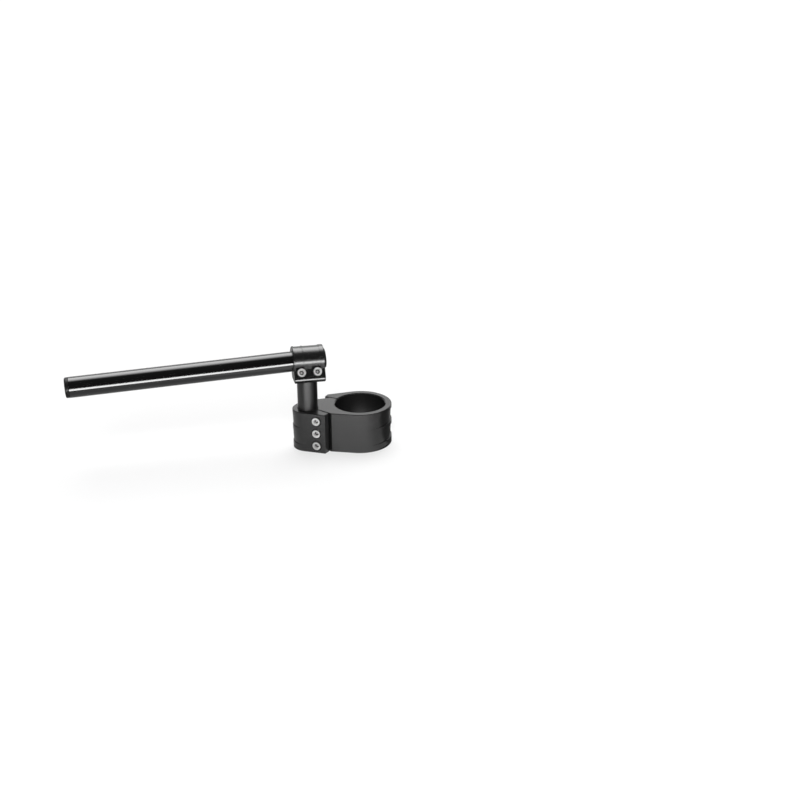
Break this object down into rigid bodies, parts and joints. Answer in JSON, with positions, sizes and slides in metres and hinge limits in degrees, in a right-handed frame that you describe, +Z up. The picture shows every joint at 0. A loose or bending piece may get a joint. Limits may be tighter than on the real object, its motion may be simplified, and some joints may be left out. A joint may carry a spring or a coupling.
{
  "type": "clip-on handlebar",
  "caption": "Adjustable raised clip-on handlebar for one fork leg: a split fork clamp with a pinched riser post, a bar clamp and a straight tube with end caps.",
  "frame": {"origin": "on the fork-bore axis at the middle of the fork clamp's height", "axes": "+Z up the fork leg, -X outboard from the fork past the riser post, -Y the side of the riser's pinch bolts"},
  "size_m": [0.3483, 0.073, 0.1178],
  "materials": {
    "clamp_black": "satin black anodised",
    "post_black": "turned black anodised",
    "bar_black": "gloss black anodised",
    "bolt_steel": "bright stainless",
    "screw_black": "black oxide steel",
    "cap_black": "black moulded plastic"
  },
  "bodies": {
    "fork_clamp": {"fork_clamp": "clamp_black", "riser_pinch_bolt_1": "bolt_steel", "riser_pinch_bolt_2": "bolt_steel", "riser_pinch_bolt_3": "bolt_steel", "fork_pinch_bolt_1": "bolt_steel", "fork_pinch_bolt_2": "bolt_steel", "fork_pinch_bolt_3": "bolt_steel"},
    "riser": {"riser_post": "post_black"},
    "head": {"bar_clamp": "clamp_black", "riser_lock_screw": "screw_black", "bar_pinch_bolt_1": "bolt_steel", "bar_pinch_bolt_2": "bolt_steel"},
    "bar": {"handlebar_tube": "bar_black", "bar_end_cap": "cap_black", "bar_inner_cap": "cap_black"}
  },
  "joints": [
    {"name": "riser_height", "type": "slide", "parent": "fork_clamp", "child": "riser", "axis": [0, 0, 1], "range_m": [-0.034, 0.015]},
    {"name": "riser_swivel", "type": "hinge", "parent": "riser", "child": "head", "pos_m": [-0.0584, 0.00485, 0.0789], "axis": [0, 0, 1], "range_deg": [-45, 45]},
    {"name": "bar_reach", "type": "slide", "parent": "head", "child": "bar", "axis": [-0.9954, 0.0871, -0.0393], "range_m": [-0.012, 0.008]}
  ]
}
